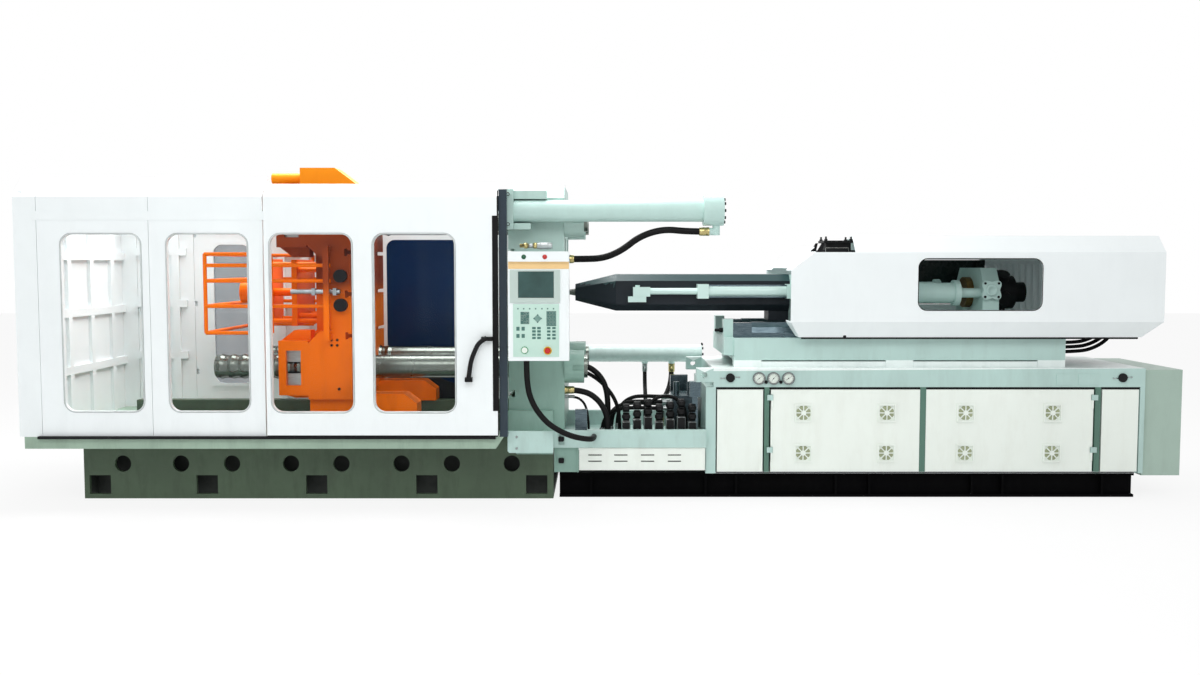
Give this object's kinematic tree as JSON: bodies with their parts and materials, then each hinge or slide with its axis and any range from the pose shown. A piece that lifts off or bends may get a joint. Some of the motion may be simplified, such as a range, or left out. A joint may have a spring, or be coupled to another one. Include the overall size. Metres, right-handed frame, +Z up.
{
  "type": "injection moulding machine",
  "caption": "Large horizontal two-platen injection moulding machine with guarded clamp, orange moving platen, control panel and covered injection unit on a cream cabinet base",
  "frame": {"origin": "centre of the footprint on the floor", "axes": "+X runs along the machine from the clamp to the injection end, +Y away from the operator, +Z up"},
  "size_m": [8.225, 1.838, 2.37],
  "materials": {
    "bed green": "satin grey-green enamel",
    "machine green": "satin light grey-green enamel",
    "guard white": "satin white powder coat",
    "cabinet cream": "satin cream powder coat",
    "platen orange": "gloss orange enamel",
    "black paint": "matt black paint",
    "charcoal guard": "satin charcoal coat",
    "bar chrome": "ground and chromed bar",
    "bare steel": "machined steel",
    "aluminium post": "extruded aluminium",
    "bronze": "dull bronze",
    "clear pane": "clear polycarbonate",
    "blue pane": "blue tinted polycarbonate",
    "black rubber": "smooth black hose rubber",
    "grey plastic": "grey moulded plastic",
    "keypad film": "printed membrane",
    "green plastic": "green button",
    "red plastic": "red button"
  },
  "bodies": {
    "machine": {"clamp_bed": "bed green", "guard_ledge": "bed green", "fixed_platen": "machine green", "tie_bars": "bar chrome", "tie_bar_nuts": "bare steel", "end_guard": "guard white", "front_guard_panels": "guard white", "rear_guard_panels": "guard white", "guard_panes": "clear pane", "door_rails": "black paint", "door_posts": "aluminium post", "stroke_cylinders": "machine green", "control_box": "cabinet cream", "control_faceplates": "keypad film", "injection_deck": "machine green", "plinth": "black paint", "cabinet_frame": "machine green", "base_panels": "cabinet cream", "pressure_gauges": "bare steel", "end_box": "machine green", "gap_beam": "machine green", "hydraulic_manifold": "grey plastic", "guide_rails": "bare steel", "base_frame": "machine green", "stroke_hose": "black rubber", "panel_conduit": "black rubber", "hydraulic_hoses": "black rubber"},
    "front_door_slider": {"front_door": "guard white", "front_door_panes": "clear pane", "front_door_handle": "black rubber"},
    "rear_door_slider": {"rear_door": "guard white", "rear_door_panes": "blue pane"},
    "service_leaf": {"service_door": "guard white", "service_pane": "clear pane"},
    "platen": {"moving_platen": "platen orange", "lock_housings": "platen orange", "ejector_cylinder": "platen orange", "ejector_guard": "platen orange", "stroke_rods": "bar chrome", "position_rod": "aluminium post", "platen_valve_box": "platen orange"},
    "ejector": {"ejector_plate": "bare steel"},
    "upper_nuts": {"upper_half_nuts": "bare steel"},
    "lower_nuts": {"lower_half_nuts": "bare steel"},
    "carriage": {"screw_barrel": "bare steel", "nozzle": "bare steel", "barrel_guard": "charcoal guard", "injection_housing": "machine green", "carriage_cylinders": "machine green", "hopper_throat": "black paint", "injection_cylinders": "machine green", "unit_cover": "guard white", "carriage_hoses": "black rubber"},
    "thrust": {"thrust_block": "machine green", "screw_motor": "black paint"},
    "screw": {"feed_screw": "bare steel"},
    "left_cabinet_leaf": {"cabinet_door_left": "cabinet cream"},
    "right_cabinet_leaf": {"cabinet_door_right": "cabinet cream"},
    "start_key": {"start_button": "green plastic"},
    "stop_key": {"stop_button": "red plastic"}
  },
  "joints": [
    {"name": "platen_slide", "type": "slide", "parent": "machine", "child": "platen", "axis": [1, 0, 0], "range_m": [-0.4, 0.48]},
    {"name": "ejector_slide", "type": "slide", "parent": "platen", "child": "ejector", "axis": [1, 0, 0], "range_m": [0, 0.15]},
    {"name": "upper_nuts_slide", "type": "slide", "parent": "platen", "child": "upper_nuts", "axis": [0, 0, -1], "range_m": [0, 0.04]},
    {"name": "lower_nuts_slide", "type": "slide", "parent": "platen", "child": "lower_nuts", "axis": [0, 0, 1], "range_m": [0, 0.04]},
    {"name": "front_door_slide", "type": "slide", "parent": "machine", "child": "front_door_slider", "axis": [-1, 0, 0], "range_m": [0, 1.5]},
    {"name": "rear_door_slide", "type": "slide", "parent": "machine", "child": "rear_door_slider", "axis": [-1, 0, 0], "range_m": [0, 1.04]},
    {"name": "service_door_hinge", "type": "hinge", "parent": "machine", "child": "service_leaf", "pos_m": [-3.449, 0.857, 1.27], "axis": [0, 0, -1], "range_deg": [-100, 0]},
    {"name": "carriage_slide", "type": "slide", "parent": "machine", "child": "carriage", "axis": [1, 0, 0], "range_m": [-0.3, 0.15]},
    {"name": "thrust_slide", "type": "slide", "parent": "carriage", "child": "thrust", "axis": [1, 0, 0], "range_m": [0, 0.4]},
    {"name": "screw_spin", "type": "hinge", "parent": "thrust", "child": "screw", "pos_m": [1, 0, 1.476], "axis": [1, 0, 0], "continuous": true},
    {"name": "left_cabinet_hinge", "type": "hinge", "parent": "machine", "child": "left_cabinet_leaf", "pos_m": [1.165, -0.529, 0.49], "axis": [0, 0, -1], "range_deg": [0, 110]},
    {"name": "right_cabinet_hinge", "type": "hinge", "parent": "machine", "child": "right_cabinet_leaf", "pos_m": [3.474, -0.529, 0.49], "axis": [0, 0, 1], "range_deg": [0, 110]},
    {"name": "start_button_press", "type": "slide", "parent": "machine", "child": "start_key", "axis": [0, 1, 0], "range_m": [0, 0.004], "stiffness_N_per_m": 300},
    {"name": "stop_button_press", "type": "slide", "parent": "machine", "child": "stop_key", "axis": [0, 1, 0], "range_m": [0, 0.004], "stiffness_N_per_m": 500}
  ],
  "couplings": [
    {"joint": "lower_nuts_slide", "follows": "upper_nuts_slide", "ratio": 1}
  ]
}
